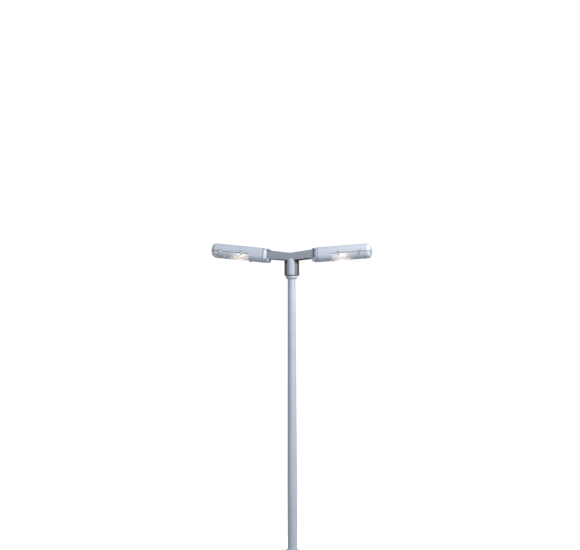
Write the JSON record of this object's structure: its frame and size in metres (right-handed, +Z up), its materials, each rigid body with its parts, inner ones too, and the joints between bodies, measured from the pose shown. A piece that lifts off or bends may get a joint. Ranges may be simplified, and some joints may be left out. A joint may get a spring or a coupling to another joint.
{
  "type": "street lamp",
  "caption": "Twin-arm street lamp: conical mast with service door, channel bracket and tilting box luminaires with hinged clear bowls.",
  "frame": {"origin": "middle of the base plate's underside, on the ground, on the mast's axis", "axes": "+Z up along the mast, X along the two arms, +Y towards the side of the service door"},
  "size_m": [2.386, 0.3176, 4.5907],
  "materials": {
    "mast_paint": "satin powder coat",
    "canopy_paint": "satin powder coat",
    "galvanised_steel": "hot-dip zinc",
    "stainless_steel": "brushed",
    "clip_steel": "satin",
    "dark_casting": "black primed casting",
    "brass": "dull",
    "box_plastic": "moulded",
    "carrier_plastic": "moulded",
    "fuse_ceramic": "fired",
    "cable_sheath": "matt",
    "lead_sheath": "matt",
    "lens_clear": "clear moulded polycarbonate, ribbed",
    "seal_rubber": "matt",
    "ballast_iron": "dipped varnish",
    "reflector_aluminium": "anodised",
    "lamp_glass": "clear"
  },
  "bodies": {
    "mast": {"base_plate": "galvanised_steel", "foot_collar": "mast_paint", "foot_collar_screws": "stainless_steel", "mast_foot": "mast_paint", "mast_door_frame": "mast_paint", "mast_tube": "mast_paint", "door_hinge_pins": "stainless_steel", "equipment_rail": "galvanised_steel", "fuse_box": "box_plastic", "fuse_box_cover": "box_plastic", "fuse_carrier": "carrier_plastic", "fuses": "fuse_ceramic", "earth_stud": "brass", "mast_spigot": "galvanised_steel", "mast_top_collar": "mast_paint", "bracket": "mast_paint", "socket_saddle": "dark_casting", "socket_screws": "stainless_steel", "bond_strip": "brass", "left_supply_cable": "cable_sheath", "right_supply_cable": "cable_sheath", "left_tilt_bolt": "stainless_steel", "right_tilt_bolt": "stainless_steel"},
    "service_door": {"mast_door": "mast_paint"},
    "door_lock": {"door_lock": "stainless_steel"},
    "left_luminaire": {"left_end_cap": "mast_paint", "left_canopy": "canopy_paint", "left_gasket": "seal_rubber", "left_bowl_hinge_pin": "stainless_steel", "left_gear_tray": "galvanised_steel", "left_ballast": "ballast_iron", "left_capacitor": "reflector_aluminium", "left_lamp_holder": "fuse_ceramic", "left_lamp_cap": "brass", "left_lamp_glass": "lamp_glass", "left_reflector": "reflector_aluminium", "left_head_wiring": "lead_sheath"},
    "left_bowl": {"left_lens_bowl": "lens_clear"},
    "left_clip_inner_front": {"left_clip_inner_front": "clip_steel"},
    "left_clip_inner_rear": {"left_clip_inner_rear": "clip_steel"},
    "left_clip_outer_front": {"left_clip_outer_front": "clip_steel"},
    "left_clip_outer_rear": {"left_clip_outer_rear": "clip_steel"},
    "right_luminaire": {"right_end_cap": "mast_paint", "right_canopy": "canopy_paint", "right_gasket": "seal_rubber", "right_bowl_hinge_pin": "stainless_steel", "right_gear_tray": "galvanised_steel", "right_ballast": "ballast_iron", "right_capacitor": "reflector_aluminium", "right_lamp_holder": "fuse_ceramic", "right_lamp_cap": "brass", "right_lamp_glass": "lamp_glass", "right_reflector": "reflector_aluminium", "right_head_wiring": "lead_sheath"},
    "right_bowl": {"right_lens_bowl": "lens_clear"},
    "right_clip_inner_front": {"right_clip_inner_front": "clip_steel"},
    "right_clip_inner_rear": {"right_clip_inner_rear": "clip_steel"},
    "right_clip_outer_front": {"right_clip_outer_front": "clip_steel"},
    "right_clip_outer_rear": {"right_clip_outer_rear": "clip_steel"}
  },
  "joints": [
    {"name": "door_hinge", "type": "hinge", "parent": "mast", "child": "service_door", "pos_m": [-0.055, 0.05367, 0.7], "axis": [0, 0, 1], "range_deg": [0, 110]},
    {"name": "door_lock_turn", "type": "hinge", "parent": "service_door", "child": "door_lock", "pos_m": [0.02, 0.05, 0.7], "axis": [0, 1, 0], "range_deg": [-90, 0]},
    {"name": "left_tilt", "type": "hinge", "parent": "mast", "child": "left_luminaire", "pos_m": [-0.3, 0, 4.38716], "axis": [0, 1, 0], "range_deg": [-6.9, 3.1]},
    {"name": "left_bowl_hinge", "type": "hinge", "parent": "left_luminaire", "child": "left_bowl", "pos_m": [-0.6232, 0, 4.31345], "axis": [0, -1, 0], "range_deg": [0, 80]},
    {"name": "left_clip_inner_front_hinge", "type": "hinge", "parent": "left_luminaire", "child": "left_clip_inner_front", "pos_m": [-0.72394, -0.1508, 4.44652], "axis": [-0.9928, 0, 0.1201], "range_deg": [0, 100]},
    {"name": "left_clip_inner_rear_hinge", "type": "hinge", "parent": "left_luminaire", "child": "left_clip_inner_rear", "pos_m": [-0.72394, 0.1508, 4.44652], "axis": [0.9928, 0, -0.1201], "range_deg": [0, 100]},
    {"name": "left_clip_outer_front_hinge", "type": "hinge", "parent": "left_luminaire", "child": "left_clip_outer_front", "pos_m": [-1.03864, -0.1508, 4.4846], "axis": [-0.9928, 0, 0.1201], "range_deg": [0, 100]},
    {"name": "left_clip_outer_rear_hinge", "type": "hinge", "parent": "left_luminaire", "child": "left_clip_outer_rear", "pos_m": [-1.03864, 0.1508, 4.4846], "axis": [0.9928, 0, -0.1201], "range_deg": [0, 100]},
    {"name": "right_tilt", "type": "hinge", "parent": "mast", "child": "right_luminaire", "pos_m": [0.3, 0, 4.38716], "axis": [0, -1, 0], "range_deg": [-3.2, 6.8]},
    {"name": "right_bowl_hinge", "type": "hinge", "parent": "right_luminaire", "child": "right_bowl", "pos_m": [0.61777, 0, 4.29275], "axis": [0, 1, 0], "range_deg": [0, 80]},
    {"name": "right_clip_inner_front_hinge", "type": "hinge", "parent": "right_luminaire", "child": "right_clip_inner_front", "pos_m": [0.72689, -0.1508, 4.41904], "axis": [-0.9984, 0, -0.0558], "range_deg": [0, 100]},
    {"name": "right_clip_inner_rear_hinge", "type": "hinge", "parent": "right_luminaire", "child": "right_clip_inner_rear", "pos_m": [0.72689, 0.1508, 4.41904], "axis": [0.9984, 0, 0.0558], "range_deg": [0, 100]},
    {"name": "right_clip_outer_front_hinge", "type": "hinge", "parent": "right_luminaire", "child": "right_clip_outer_front", "pos_m": [1.04339, -0.1508, 4.43673], "axis": [-0.9984, 0, -0.0558], "range_deg": [0, 100]},
    {"name": "right_clip_outer_rear_hinge", "type": "hinge", "parent": "right_luminaire", "child": "right_clip_outer_rear", "pos_m": [1.04339, 0.1508, 4.43673], "axis": [0.9984, 0, 0.0558], "range_deg": [0, 100]}
  ]
}
